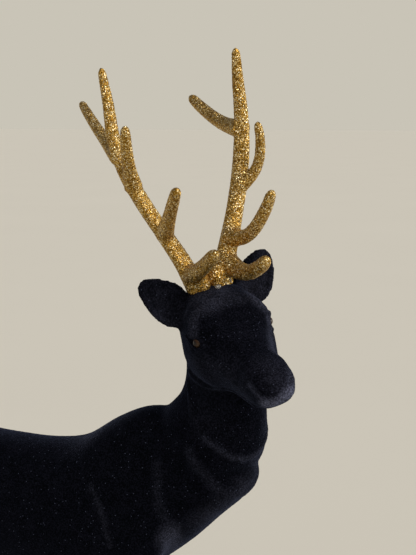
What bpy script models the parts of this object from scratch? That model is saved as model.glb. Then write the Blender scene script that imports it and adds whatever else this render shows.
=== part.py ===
"""Velvet stag figurine: a flocked body on a low base, two glittered antlers and two bead eyes.

The stag stands facing +X with its left side at +Y, and looks round over its right shoulder.
The origin is the middle of the base's underside, +Z is up and the scene is in metres.
"""

import math

import bmesh
import bpy
from mathutils import Matrix, Vector

MM = 0.001  # the sizes below are in millimetres
GAP = 0.3  # clearance between two pieces that touch

# Base: a low plinth with an oval outline and a rounded top edge.
BASE_LENGTH = 214.0
BASE_WIDTH = 96.0
BASE_HEIGHT = 10.0
BASE_SQUARENESS = 2.6
BASE_EDGE = 2.5
BASE_EDGE_STEPS = 4
BASE_BREAK = 0.6
BASE_POINTS = 48

# Head pose: the crown is the top of the skull, midway between the antlers.
CROWN = Vector((113.0, -10.0, 296.0))
HEAD_TURN = math.radians(-45.0)
HEAD_ROLL = math.radians(10.0)

# Torso sections along X: place, back line, belly line, half width.
TORSO = (
    (-104.0, 170.0, 148.0, 12.0),
    (-98.0, 183.0, 136.0, 22.0),
    (-80.0, 193.0, 120.0, 31.0),
    (-52.0, 197.0, 115.0, 34.0),
    (-22.0, 196.0, 116.0, 33.0),
    (8.0, 196.0, 113.0, 35.0),
    (32.0, 201.0, 113.0, 36.0),
    (54.0, 215.0, 117.0, 33.0),
    (72.0, 223.0, 126.0, 29.0),
    (88.0, 223.5, 139.0, 25.0),
    (103.0, 218.0, 152.0, 22.0),
    (118.0, 212.0, 167.5, 19.0),
    (128.0, 209.0, 177.0, 15.0),
    (134.0, 205.0, 184.0, 10.0),
    (136.5, 200.0, 189.5, 5.0),
)
TORSO_SQUARENESS = 2.2

# Neck sections from the chest to the skull: centre, half depth front to back, half width, turn.
NECK = (
    ((100.0, 0.0, 184.0), 26.0, 16.0, 0.0),
    ((106.0, 0.0, 203.0), 33.5, 24.0, -5.0),
    ((111.5, -1.0, 220.0), 31.5, 23.0, -12.0),
    ((118.5, -3.0, 236.0), 24.5, 20.5, -22.0),
    ((119.0, -5.0, 252.0), 20.5, 18.5, -32.0),
    ((116.0, -7.0, 268.0), 18.5, 17.5, -42.0),
    ((114.0, -9.0, 282.0), 14.0, 15.0, -45.0),
)

# Head sections in the head's own axes (x forward, y left, z up from the crown): place, top,
# bottom, half width, width of the jaw as a share of it, and squareness of the upper half.
HEAD = (
    (-16.0, -11.0, -30.0, 8.0, 0.9, 2.2),
    (-10.0, -2.5, -39.0, 16.0, 0.9, 2.2),
    (-1.0, 1.0, -46.5, 20.5, 0.9, 2.3),
    (6.0, 0.5, -49.0, 22.5, 0.86, 2.7),
    (12.0, -3.0, -49.5, 23.3, 0.82, 3.2),
    (20.0, -9.5, -49.5, 23.5, 0.76, 4.2),
    (28.0, -15.0, -48.5, 20.0, 0.68, 4.2),
    (35.0, -19.0, -49.0, 17.0, 0.64, 3.2),
    (43.0, -23.0, -51.0, 13.8, 0.68, 3.0),
    (53.0, -27.0, -51.5, 12.2, 0.74, 2.8),
    (60.0, -30.5, -48.5, 11.0, 0.78, 2.5),
    (64.0, -33.5, -46.0, 8.8, 0.82, 2.3),
    (66.5, -36.5, -43.5, 5.6, 0.9, 2.1),
    (67.2, -39.0, -41.0, 2.0, 1.0, 2.0),
)
JAW_SQUARENESS = 3.2

# Ears, for the stag's left side: root, tip, and across the ear from its lower to its upper edge,
# then sections along it, and how far it cups and droops.
EAR_ROOT = Vector((1.0, 15.0, -9.0))
EAR_TIP = Vector((-0.5, 38.0, 9.8))
EAR_ACROSS = Vector((-5.0, -8.0, 15.0))
EAR_SECTIONS = (
    (0.0, 8.0, 5.5),
    (0.2, 11.0, 3.8),
    (0.42, 11.8, 2.8),
    (0.65, 10.7, 2.4),
    (0.84, 7.8, 2.0),
    (0.95, 5.0, 1.7),
    (1.0, 2.0, 1.0),
)
EAR_CUP = 0.105
EAR_DROOP = 1.8

# Legs, for the stag's left side: joints from the body down to the hoof as
# place, half depth front to back, half width.
FORELEG = (
    ((78.0, 14.0, 188.0), 20.0, 14.0),
    ((77.0, 19.0, 162.0), 18.5, 12.0),
    ((70.0, 20.5, 134.0), 13.5, 9.5),
    ((67.0, 20.0, 108.0), 8.5, 7.0),
    ((66.0, 19.0, 82.0), 6.0, 5.5),
    ((67.0, 18.5, 72.0), 6.4, 5.8),
    ((65.5, 18.0, 62.0), 5.0, 4.6),
    ((64.0, 18.0, 34.0), 4.3, 4.2),
    ((65.0, 18.0, 25.0), 5.2, 5.0),
    ((68.0, 18.0, 17.0), 5.0, 4.8),
    ((70.0, 18.0, 13.0), 7.2, 5.8),
    ((71.0, 18.0, 6.0), 8.4, 6.4),
)
HINDLEG = (
    ((-72.0, 14.0, 178.0), 27.0, 16.0),
    ((-70.0, 20.0, 152.0), 26.0, 14.0),
    ((-66.0, 22.0, 126.0), 18.0, 11.0),
    ((-73.0, 21.0, 106.0), 11.5, 8.0),
    ((-86.0, 20.0, 88.0), 8.0, 6.0),
    ((-92.0, 19.0, 78.0), 7.4, 5.8),
    ((-91.0, 19.0, 66.0), 5.8, 5.0),
    ((-86.0, 18.5, 38.0), 4.6, 4.4),
    ((-84.0, 18.5, 26.0), 5.4, 5.1),
    ((-81.0, 18.5, 18.0), 5.1, 4.9),
    ((-79.0, 18.5, 13.0), 7.2, 5.8),
    ((-78.0, 18.5, 6.0), 8.4, 6.4),
)
# The stance: how far the left legs stand back from the right ones.
FORELEG_BACK = 8.0
HINDLEG_BACK = -6.0
TAIL = (
    ((-96.0, 0.0, 186.0), 7.0, 7.0),
    ((-106.0, 0.0, 180.0), 6.5, 8.0),
    ((-112.0, 0.0, 168.0), 5.5, 7.5),
    ((-113.0, 0.0, 157.0), 3.0, 4.0),
)

# Eyes: beads let into sockets, in the head's axes, for the left side.
EYE_PLACE = Vector((21.7, 20.0, -20.0))
EYE_RADIUS = 2.5

# Antlers, in the head's axes with y outward. Both are one design: a beam that leans
# out, bows back and comes forward at its top, with four tines.
BEAM_FOOT_OUT = 6.5
BEAM_FOOT_DEPTH = 3.0
BEAM_BOW = 7.0
BEAM_TOP_BACK = 3.0
BEAM_RADII = (5.8, 5.3, 4.7, 4.5, 4.3, 3.8, 3.1, 2.1)
BEAM_FLATNESS = 0.72
BEAM_BROAD_WAY = math.radians(67.0)
TIP_POWER = 10
TINE_RADII = (4.8, 3.9, 3.4, 3.0, 2.4)
TINE_SHARES = (0.0, 0.3, 0.55, 0.82, 1.0)
TINE_FLATNESS = 0.9
# What differs by hand between the two castings: the height, how far the beam and its tip
# spread, where it is upright from and how early it spreads. Then each tine: its height on the
# beam, how far forward, outward and up its tip is from there, its sag, its girth, its bow and
# how much its root flares.
ANTLERS = {
    "antler_right": {
        "side": -1.0,
        "height": 118.0,
        "spread": 27.8,
        "straight_from": 80.0,
        "tip_out": 1.3,
        "early": 0.15,
        "tines": {
            "brow": (8.0, (41.0, 2.0, 18.5), 1.5, 1.2, 0.0, 1.2),
            "second": (31.0, (38.5, 4.8, 27.8), 0.0, 0.97, 0.0, 1.0),
            "third": (58.0, (20.5, 6.0, 32.0), 1.0, 0.9, 1.0, 1.0),
            "rear": (74.0, (-52.5, -2.5, 27.5), 0.0, 0.85, 1.0, 1.0),
        },
    },
    "antler_left": {
        "side": 1.0,
        "height": 117.0,
        "spread": 30.2,
        "straight_from": 88.0,
        "tip_out": 0.3,
        "early": 1.0,
        "tines": {
            "brow": (11.0, (40.0, 4.5, 6.0), 7.0, 1.3, 0.0, 1.3),
            "second": (22.0, (37.5, 9.0, 26.0), 8.4, 1.08, 0.0, 1.25),
            "third": (46.0, (18.0, 7.2, 33.5), 4.5, 0.84, 5.8, 1.0),
            "rear": (75.5, (-51.0, -3.5, 19.0), 3.8, 1.1, 0.0, 1.15),
        },
    },
}
# Where an antler stands: a flat seat cut across the crown and a swelling on it.
SEAT_SIZE = (24.0, 34.0, 12.0)
FOOT_RADII = Vector((6.6, 5.2, 8.0))
FOOT_PLACE = Vector((0.0, 4.6, 3.0))
TRIM_REACH = 40.0

RING_POINTS = 32
CURVE_STEPS = 6

BODY_VOXEL = 2.0
BODY_SMOOTHING = 8
BODY_TRIANGLES = 5900
ANTLER_VOXEL = 0.9
ANTLER_SMOOTHING = 4
ANTLER_TRIANGLES = 1150
ALL_TURN = 2.0 * math.pi


def head_axes():
    """The head's own axes in the world: x forward, y to the stag's left, z up, from the crown."""
    turn = Matrix.Rotation(HEAD_TURN, 4, "Z")
    roll = Matrix.Rotation(HEAD_ROLL, 4, "X")
    return Matrix.Translation(CROWN) @ turn @ roll


def curve_point(points, index, t):
    """A point on the smooth curve through the points, t of the way from one to the next."""
    before = points[max(index - 1, 0)]
    start = points[index]
    end = points[index + 1]
    after = points[min(index + 2, len(points) - 1)]
    values = []
    for a, b, c, d in zip(before, start, end, after):
        slope_in = 0.5 * (c - a)
        slope_out = 0.5 * (d - b)
        bend = 3.0 * (c - b) - 2.0 * slope_in - slope_out
        twist = 2.0 * (b - c) + slope_in + slope_out
        values.append(b + slope_in * t + bend * t * t + twist * t * t * t)
    return values


def fine_sections(sections, steps=CURVE_STEPS):
    """Sections between the ones given, on smooth curves through all their numbers."""
    rows = []
    for index in range(len(sections) - 1):
        rows += [curve_point(sections, index, step / steps) for step in range(steps)]
    rows.append(list(sections[-1]))
    return rows


def rounded(angle, power):
    """Cosine and sine of an angle, squared off: power 2 is a circle, more is boxier."""
    c, s = math.cos(angle), math.sin(angle)
    share = 2.0 / power
    return math.copysign(abs(c) ** share, c), math.copysign(abs(s) ** share, s)


def add_rings(mesh, rings):
    """A closed body through rings of points, capped at both ends."""
    loops = [[mesh.verts.new(point) for point in ring] for ring in rings]
    count = len(loops[0])
    for low, high in zip(loops, loops[1:]):
        for i in range(count):
            j = (i + 1) % count
            mesh.faces.new((low[i], low[j], high[j], high[i]))
    mesh.faces.new(list(reversed(loops[0])))
    mesh.faces.new(loops[-1])


def add_ball(mesh, place, radii, axes=None):
    """An ellipsoid of the three radii."""
    matrix = (axes or Matrix()) @ Matrix.Translation(place) @ Matrix.Diagonal((*radii, 1.0))
    bmesh.ops.create_icosphere(mesh, subdivisions=3, radius=1.0, matrix=matrix)


def torso_rings():
    """Upright sections of the trunk from the rump to the breast."""
    rings = []
    for x, top, bottom, width in fine_sections(TORSO):
        middle, height = 0.5 * (top + bottom), 0.5 * (top - bottom)
        ring = []
        for i in range(RING_POINTS):
            across, up = rounded(ALL_TURN * i / RING_POINTS, TORSO_SQUARENESS)
            ring.append(Vector((x, width * across, middle + height * up)))
        rings.append(ring)
    return rings


def limb_rings(sections, turns=None):
    """Level sections of a limb or the neck, each with its own depth, width and turn."""
    flat = [(*place, depth, width) for place, depth, width in sections]
    if turns:
        flat = [(*row, turn) for row, turn in zip(flat, turns)]
    rings = []
    for x, y, z, depth, width, *turn in fine_sections(flat):
        swing = Matrix.Rotation(math.radians(turn[0] if turn else 0.0), 3, "Z")
        ring = []
        for i in range(RING_POINTS):
            angle = ALL_TURN * i / RING_POINTS
            spoke = Vector((depth * math.cos(angle), width * math.sin(angle), 0.0))
            ring.append(Vector((x, y, z)) + swing @ spoke)
        rings.append(ring)
    return rings


def head_rings(axes):
    """Sections of the skull and muzzle, broad at the brow and narrower at the jaw."""
    rings = []
    for x, top, bottom, width, jaw, crown in fine_sections(HEAD):
        middle, height = 0.5 * (top + bottom), 0.5 * (top - bottom)
        ring = []
        for i in range(RING_POINTS):
            power = crown if 2 * i < RING_POINTS else JAW_SQUARENESS
            across, up = rounded(ALL_TURN * i / RING_POINTS, power)
            share = 1.0 - (1.0 - jaw) * (0.5 - 0.5 * up) ** 2
            ring.append(axes @ Vector((x, width * share * across, middle + height * up)))
        rings.append(ring)
    return rings


def ear_rings(axes, side):
    """Sections of a cupped ear, open to the front; side is 1 for the left ear, -1 for the right."""
    along = EAR_TIP - EAR_ROOT
    across = EAR_ACROSS.normalized()
    hollow_way = across.cross(along).normalized()
    if hollow_way.x < 0.0:
        hollow_way.negate()
    mirror = Vector((1.0, side, 1.0))
    rings = []
    for t, width, thick in fine_sections(EAR_SECTIONS, 4):
        middle = EAR_ROOT + along * t - across * (EAR_DROOP * math.sin(math.pi * t))
        ring = []
        for i in range(RING_POINTS):
            angle = ALL_TURN * i / RING_POINTS
            reach = width * math.cos(angle)
            depth = thick * (math.sin(angle) - 0.5) + EAR_CUP * abs(reach) ** 1.5
            point = middle + across * reach + hollow_way * depth
            ring.append(axes @ Vector(a * b for a, b in zip(point, mirror)))
        rings.append(ring)
    return rings


def tube_rings(points, radii, flatness, broad_way, place):
    """Sections of a tine or beam, square to its path, flattened one way; place puts them down."""
    rows = fine_sections([(*point, radius) for point, radius in zip(points, radii)])
    path = [Vector(row[:3]) for row in rows]
    rings = []
    for index, row in enumerate(rows):
        ahead = path[min(index + 1, len(path) - 1)] - path[max(index - 1, 0)]
        broad = (broad_way - ahead * (broad_way.dot(ahead) / ahead.length_squared)).normalized()
        thin = ahead.cross(broad).normalized()
        ring = []
        for i in range(RING_POINTS // 2):
            angle = 2.0 * ALL_TURN * i / RING_POINTS
            spoke = broad * math.cos(angle) + thin * (flatness * math.sin(angle))
            ring.append(place(path[index] + spoke * row[3]))
        rings.append(ring)
    return rings


def beam_at(antler, height):
    """The middle of the beam at a height above the crown."""
    share = max(height, 0.0) / antler["height"]
    lean = min(max(height, 0.0) / antler["straight_from"], 1.0)
    late = 0.5 * (lean + lean * lean * (3.0 - 2.0 * lean))
    soon = math.sin(0.5 * math.pi * lean)
    eased = late + (soon - late) * antler["early"]
    forward = -BEAM_TOP_BACK * share * share - BEAM_BOW * math.sin(math.pi * share)
    out = BEAM_FOOT_OUT + antler["spread"] * eased + antler["tip_out"] * share**TIP_POWER
    return Vector((forward, out, height))


def beam_points(antler):
    """Points up the beam, one for each of its radii."""
    last = len(BEAM_RADII) - 1
    rise = antler["height"] + BEAM_FOOT_DEPTH
    return [beam_at(antler, rise * i / last - BEAM_FOOT_DEPTH) for i in range(last + 1)]


def tine_points(root, reach, sag, bow):
    """Points of a tine that leaves the beam low, swells outward and curls up to its tip."""
    bend = Vector((0.0, 4.0 * bow, -4.0 * sag))
    return [root + reach * share + bend * share * (1.0 - share) for share in TINE_SHARES]


def new_object(name, mesh, colour, roughness, metallic=0.0):
    """A named object of one material from a bmesh in millimetres."""
    bmesh.ops.scale(mesh, vec=(MM, MM, MM), verts=mesh.verts)
    bmesh.ops.recalc_face_normals(mesh, faces=mesh.faces)
    data = bpy.data.meshes.new(name)
    mesh.to_mesh(data)
    mesh.free()
    material = bpy.data.materials.new(name)
    material.use_nodes = True
    shader = material.node_tree.nodes["Principled BSDF"]
    shader.inputs["Base Color"].default_value = (*colour, 1.0)
    shader.inputs["Roughness"].default_value = roughness
    shader.inputs["Metallic"].default_value = metallic
    data.materials.append(material)
    data.shade_smooth()
    thing = bpy.data.objects.new(name, data)
    bpy.context.scene.collection.objects.link(thing)
    return thing


def fuse(thing, voxel, smoothing, triangles):
    """Joins the overlapping forms of an object into one skin of about so many triangles."""
    remesh = thing.modifiers.new("Skin", "REMESH")
    remesh.mode = "VOXEL"
    remesh.voxel_size = voxel * MM
    smooth = thing.modifiers.new("Smooth", "SMOOTH")
    smooth.factor = 0.5
    smooth.iterations = smoothing
    view = bpy.context.evaluated_depsgraph_get()
    faces = len(thing.evaluated_get(view).data.polygons)
    thin = thing.modifiers.new("Facets", "DECIMATE")
    thin.ratio = min(1.0, triangles / (2.0 * faces))


def cut(thing, mesh, name):
    """Cuts a closed shape out of an object."""
    cutter = new_object(name, mesh, (0.5, 0.5, 0.5), 0.5)
    cutter.hide_render = True
    cutter.display_type = "WIRE"
    trim = thing.modifiers.new(name, "BOOLEAN")
    trim.operation = "DIFFERENCE"
    trim.solver = "EXACT"
    trim.object = cutter


def add_box(mesh, low, high, axes=None):
    """A box between two corners."""
    middle = 0.5 * (Vector(low) + Vector(high))
    size = Vector(high) - Vector(low)
    matrix = Matrix.Translation(middle) @ Matrix.Diagonal((*size, 1.0))
    bmesh.ops.create_cube(mesh, size=1.0, matrix=(axes or Matrix()) @ matrix)


def leg_rings(sections, side, back):
    """Level sections of the left leg (side 1) or the right one (-1), set back by so much."""
    return limb_rings([((x - back, side * y, z), *sizes) for (x, y, z), *sizes in sections])


def build_body(axes):
    """The flocked moulding: trunk, neck, head, ears, legs and tail in one piece."""
    mesh = bmesh.new()
    add_rings(mesh, torso_rings())
    add_rings(mesh, limb_rings([row[:3] for row in NECK], [row[3] for row in NECK]))
    add_rings(mesh, head_rings(axes))
    add_rings(mesh, limb_rings(TAIL))
    for side in (1.0, -1.0):
        add_rings(mesh, ear_rings(axes, side))
        left = 0.5 * (1.0 + side)
        add_rings(mesh, leg_rings(FORELEG, side, left * FORELEG_BACK))
        add_rings(mesh, leg_rings(HINDLEG, side, left * HINDLEG_BACK))
    body = new_object("body", mesh, (0.008, 0.008, 0.012), 0.95)
    fuse(body, BODY_VOXEL, BODY_SMOOTHING, BODY_TRIANGLES)

    floor = bmesh.new()
    add_box(
        floor,
        (-BASE_LENGTH, -BASE_WIDTH, -BASE_HEIGHT),
        (BASE_LENGTH, BASE_WIDTH, BASE_HEIGHT + GAP),
    )
    cut(body, floor, "hoof_floor")
    seat = bmesh.new()
    long, wide, high = SEAT_SIZE
    add_box(seat, (-0.5 * long, -0.5 * wide, -0.5 * GAP), (0.5 * long, 0.5 * wide, high), axes)
    cut(body, seat, "antler_seat")
    for side, name in ((1.0, "socket_left"), (-1.0, "socket_right")):
        socket = bmesh.new()
        place = Vector((EYE_PLACE.x, side * EYE_PLACE.y, EYE_PLACE.z))
        add_ball(socket, place, (EYE_RADIUS + GAP,) * 3, axes)
        cut(body, socket, name)


def build_antler(axes, name, antler):
    """One antler: a beam with a foot, and four tines that branch from it."""
    side = antler["side"]

    def place(point):
        return axes @ Vector((point.x, side * point.y, point.z))

    mesh = bmesh.new()
    broad = Vector((math.cos(BEAM_BROAD_WAY), math.sin(BEAM_BROAD_WAY), 0.0))
    add_rings(mesh, tube_rings(beam_points(antler), BEAM_RADII, BEAM_FLATNESS, broad, place))
    for height, reach, sag, girth, bow, flare in antler["tines"].values():
        points = tine_points(beam_at(antler, height), Vector(reach), sag, bow)
        radii = [radius * girth for radius in TINE_RADII]
        radii[0] = TINE_RADII[0] * flare
        add_rings(mesh, tube_rings(points, radii, TINE_FLATNESS, Vector((0.0, 1.0, 0.0)), place))
    add_ball(mesh, Vector((FOOT_PLACE.x, side * FOOT_PLACE.y, FOOT_PLACE.z)), FOOT_RADII, axes)
    thing = new_object(name, mesh, (0.45, 0.28, 0.06), 0.35, 0.9)
    fuse(thing, ANTLER_VOXEL, ANTLER_SMOOTHING, ANTLER_TRIANGLES)
    reach = TRIM_REACH
    under = bmesh.new()
    add_box(under, (-reach, -reach, -reach), (reach, reach, 0.5 * GAP), axes)
    cut(thing, under, name + "_seat_trim")
    inner = sorted((-side * reach, side * 0.5 * GAP))
    middle = bmesh.new()
    add_box(middle, (-reach, inner[0], -reach), (reach, inner[1], reach), axes)
    cut(thing, middle, name + "_middle_trim")


def build_eye(axes, name, side):
    """One bead eye, seated in its socket."""
    mesh = bmesh.new()
    place = axes @ Vector((EYE_PLACE.x, side * EYE_PLACE.y, EYE_PLACE.z))
    matrix = Matrix.Translation(place)
    bmesh.ops.create_icosphere(mesh, subdivisions=2, radius=EYE_RADIUS, matrix=matrix)
    new_object(name, mesh, (0.22, 0.1, 0.03), 0.12)


def build_base():
    """The low plinth: an oval slab whose top edge is rounded over."""
    mesh = bmesh.new()
    levels = [(0.0, BASE_BREAK), (BASE_BREAK, 0.0), (BASE_HEIGHT - BASE_EDGE, 0.0)]
    for i in range(1, BASE_EDGE_STEPS + 1):
        angle = 0.25 * ALL_TURN * i / BASE_EDGE_STEPS
        rise = BASE_HEIGHT - BASE_EDGE * (1.0 - math.sin(angle))
        levels.append((rise, BASE_EDGE * (1.0 - math.cos(angle))))
    rings = []
    for z, inset in levels:
        long = 0.5 * BASE_LENGTH - inset
        wide = 0.5 * BASE_WIDTH - inset
        ring = []
        for i in range(BASE_POINTS):
            across, along = rounded(ALL_TURN * i / BASE_POINTS, BASE_SQUARENESS)
            ring.append(Vector((long * across, wide * along, z)))
        rings.append(ring)
    add_rings(mesh, rings)
    new_object("base", mesh, (0.01, 0.01, 0.013), 0.9)


def main():
    """Clears the scene and builds the figurine's pieces."""
    for thing in list(bpy.data.objects):
        bpy.data.objects.remove(thing, do_unlink=True)
    axes = head_axes()
    build_base()
    build_body(axes)
    for name, antler in ANTLERS.items():
        build_antler(axes, name, antler)
    build_eye(axes, "eye_right", -1.0)
    build_eye(axes, "eye_left", 1.0)


main()
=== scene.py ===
"""Looks of the velvet stag figurine: flocked body, glittered antlers, bead eyes, oval plinth.

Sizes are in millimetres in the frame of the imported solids: +X is the way the body faces, +Y is
its left, +Z is up, and the origin is the middle of the plinth's underside.
"""

import logging
import math
from collections.abc import Callable, Iterable, Iterator, Sequence
from contextlib import contextmanager
from dataclasses import dataclass
from enum import Enum
from typing import Any, NamedTuple

import bmesh
import bpy
import numpy as np
from mathutils import Matrix, Vector


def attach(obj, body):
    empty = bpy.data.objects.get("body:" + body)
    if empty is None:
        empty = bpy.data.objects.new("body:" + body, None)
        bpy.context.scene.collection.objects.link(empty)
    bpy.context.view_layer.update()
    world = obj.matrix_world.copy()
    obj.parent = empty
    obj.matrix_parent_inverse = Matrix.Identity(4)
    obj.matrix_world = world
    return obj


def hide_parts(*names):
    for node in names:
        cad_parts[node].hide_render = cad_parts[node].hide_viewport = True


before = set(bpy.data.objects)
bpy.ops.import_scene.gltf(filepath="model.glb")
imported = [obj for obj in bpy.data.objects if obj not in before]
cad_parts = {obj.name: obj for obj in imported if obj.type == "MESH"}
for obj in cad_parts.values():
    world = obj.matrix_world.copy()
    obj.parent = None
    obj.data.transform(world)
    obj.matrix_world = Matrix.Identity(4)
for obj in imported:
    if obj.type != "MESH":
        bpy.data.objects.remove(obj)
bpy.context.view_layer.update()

MM = 0.001
FULL_TURN = 2.0 * math.pi
STROKE_STEPS = 5
FULL_AGREEMENT = 0.5  # cosine of how far a face may turn from a stroke's and still take it whole
BALL_FINENESS = 4
VECTORS = "VectorMath"
LOG = logging.getLogger("stag")

Thing = bpy.types.Object
Tree = bpy.types.NodeTree
Socket = bpy.types.NodeSocket
Triple = tuple[float, float, float]
Rings = list[list[Vector]]
Span = tuple[float, float]
Ramp = tuple[tuple[float, str], ...]
UNIT: Span = (0.0, 1.0)


class Side(Enum):
    """A side of the stag, as the sign of Y."""

    LEFT = 1.0
    RIGHT = -1.0

    def named(self, piece: str) -> str:
        """The name of the piece on this side."""
        return f"{piece}_{self.name.lower()}"


class Relief(Enum):
    """The cross-section of a modelled line: how it dies away from its middle."""

    SOFT = 2.0
    SHARP = 1.0


# ---- Curves and skins ----


def smooth_rows(rows: Sequence[Sequence[float]], steps: int) -> np.ndarray:
    """Fills in rows between the ones given, on smooth curves through all their numbers.

    Args:
        rows: The rows that the curves pass through.
        steps: How many rows each one becomes.

    Returns:
        The finer table, one row to a line.
    """
    table = np.array([list(row) for row in rows], float)
    padded = np.vstack([table[:1], table, table[-1:]])
    out = []
    for index in range(len(table) - 1):
        before, start, end, after = padded[index : index + 4]
        slope_in, slope_out = 0.5 * (end - before), 0.5 * (after - start)
        for step in range(steps):
            t = step / steps
            bend = 3.0 * (end - start) - 2.0 * slope_in - slope_out
            twist = 2.0 * (start - end) + slope_in + slope_out
            out.append(start + slope_in * t + bend * t * t + twist * t**3)
    out.append(table[-1])
    return np.array(out)


def slices(kind: Callable[..., Any], *rows: Sequence[float]) -> tuple[Any, ...]:
    """Makes a slice of one kind from each row of numbers."""
    return tuple(kind(*row) for row in rows)


def angles(count: int) -> list[float]:
    """The directions of the points of a ring."""
    return [FULL_TURN * i / count for i in range(count)]


def squared(angle: float, power: float) -> tuple[float, float]:
    """Cosine and sine of an angle, squared off: power 2 is a circle and more is boxier."""
    c, s = math.cos(angle), math.sin(angle)
    share = 2.0 / power
    return math.copysign(abs(c) ** share, c), math.copysign(abs(s) ** share, s)


def mirrored(point: Iterable[float], side: Side) -> Vector:
    """A point given for the left side, on the side asked for."""
    x, y, z = point
    return Vector((x, side.value * y, z))


def placed(name: str, data: bpy.types.ID) -> Thing:
    """Puts a mesh, a light or a camera into the scene as a named object."""
    thing = bpy.data.objects.new(name, data)
    bpy.context.scene.collection.objects.link(thing)
    return thing


def set_smooth(mesh: bpy.types.Mesh, smooth: bool) -> None:
    """Shades a mesh's faces smooth, or flat."""
    mesh.polygons.foreach_set("use_smooth", [smooth] * len(mesh.polygons))


def shown(name: str, shape: bmesh.types.BMesh) -> Thing:
    """Turns a shape into a named, smooth object and lets go of it."""
    mesh = bpy.data.meshes.new(name)
    shape.to_mesh(mesh)
    shape.free()
    set_smooth(mesh, True)
    return placed(name, mesh)


class Clay:
    """Overlapping closed forms, in millimetres, that are pressed into one skin."""

    def __init__(self) -> None:
        """Starts with no forms."""
        self.shape = bmesh.new()

    def loft(self, rings: Rings) -> None:
        """Adds a closed form through rings of points, capped at both ends."""
        loops = [[self.shape.verts.new(point) for point in ring] for ring in rings]
        for low, high in zip(loops, loops[1:]):
            for i in range(len(low)):
                j = (i + 1) % len(low)
                self.shape.faces.new((low[i], low[j], high[j], high[i]))
        self.shape.faces.new(list(reversed(loops[0])))
        self.shape.faces.new(loops[-1])

    def ball(self, place: Vector, radii: Iterable[float], axes: Matrix) -> None:
        """Adds an ellipsoid with its radii along the given axes."""
        matrix = axes @ Matrix.Translation(place) @ Matrix.Diagonal((*radii, 1.0))
        bmesh.ops.create_icosphere(
            self.shape, subdivisions=BALL_FINENESS, radius=1.0, matrix=matrix
        )

    def fire(self, name: str) -> Thing:
        """Turns the forms into an object as they are, in metres."""
        bmesh.ops.scale(self.shape, vec=(MM, MM, MM), verts=self.shape.verts)
        bmesh.ops.recalc_face_normals(self.shape, faces=self.shape.faces)
        return shown(name, self.shape)

    def press(self, name: str, voxel: float, smoothing: int) -> Thing:
        """Joins the forms into one skin.

        Args:
            name: The object's name.
            voxel: The grain of the skin, in millimetres.
            smoothing: How many times the skin is relaxed.

        Returns:
            The object, with nothing left to apply.
        """
        rough = self.fire(name + "_forms")
        remesh = rough.modifiers.new("Skin", "REMESH")
        remesh.mode = "VOXEL"
        remesh.voxel_size = voxel * MM
        relax = rough.modifiers.new("Relax", "SMOOTH")
        relax.factor = 0.5
        relax.iterations = smoothing
        view = bpy.context.evaluated_depsgraph_get()
        mesh = bpy.data.meshes.new_from_object(rough.evaluated_get(view))
        mesh.name = name
        set_smooth(mesh, True)
        bpy.data.objects.remove(rough, do_unlink=True)
        return placed(name, mesh)


class Skin(NamedTuple):
    """The points of a skin, in millimetres, and the way each one faces."""

    places: np.ndarray
    normals: np.ndarray


@dataclass(frozen=True)
class Stroke:
    """A line of the modeller's tool on a skin: a ridge, a crease, a swelling or a hollow, with the
    painted sheen that it lays.

    Attributes:
        points: The points it passes through, in millimetres.
        width: How far from its middle it reaches.
        lift: How high it stands, or how deep it goes if negative.
        relief: How it dies away.
        painted_sheen: How much sheen is painted there as a grey, from 0 to 1.
    """

    points: tuple[Triple, ...]
    width: float
    lift: float
    relief: Relief = Relief.SOFT
    painted_sheen: float = 0.0

    def weights(self, skin: Skin, axes: Matrix, side: Side) -> np.ndarray:
        """How strongly the stroke works on each point of a skin, from 0 to 1.

        It follows the skin, and leaves alone what faces another way, such as an ear's back.

        Args:
            skin: The points of the skin and the way each one faces.
            axes: The axes that the stroke's points are in.
            side: The side of the stag that it is drawn on.

        Returns:
            One number for each point.
        """
        drawn = smooth_rows(self.points, STROKE_STEPS)
        spots = [np.array(axes @ mirrored(point, side)) for point in drawn]
        nearest = [int(np.argmin(((skin.places - spot) ** 2).sum(1))) for spot in spots]
        path, facing = skin.places[nearest], skin.normals[nearest]
        low, high = path.min(0) - self.width, path.max(0) + self.width
        inside = ((skin.places > low) & (skin.places < high)).all(1)
        places, normals = skin.places[inside], skin.normals[inside]
        best = np.full(len(places), np.inf)
        agrees = np.zeros(len(places))
        for start, end, way in zip(path, path[1:] if len(path) > 1 else path, facing):
            far = distance_to_segment(places, start, end)
            closer = far < best
            best[closer] = far[closer]
            agrees[closer] = normals[closer] @ way
        near = np.clip(1.0 - (best / self.width) ** self.relief.value, 0.0, 1.0)
        out = np.zeros(len(skin.places))
        out[inside] = near * near * np.clip(agrees / FULL_AGREEMENT, 0.0, 1.0)
        return out


def sheen_stroke(points: tuple[Triple, ...], width: float, painted_sheen: float) -> Stroke:
    """A stroke that only paints sheen as a grey on the pile, and leaves the shape alone."""
    return Stroke(points, width, 0.0, painted_sheen=painted_sheen)


def distance_to_segment(places: np.ndarray, start: np.ndarray, end: np.ndarray) -> np.ndarray:
    """How far each place is from a straight line between two points."""
    along = end - start
    length = max(float(along @ along), 1e-9)
    share = np.clip((places - start) @ along / length, 0.0, 1.0)
    return np.linalg.norm(places - start - share[:, None] * along, axis=1)


def read_vectors(items: bpy.types.bpy_prop_collection, key: str) -> np.ndarray:
    """Reads a vector from each item of a mesh."""
    flat = np.empty(len(items) * 3, np.float32)
    items.foreach_get(key, flat)
    return flat.reshape(-1, 3).astype(float)


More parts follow.
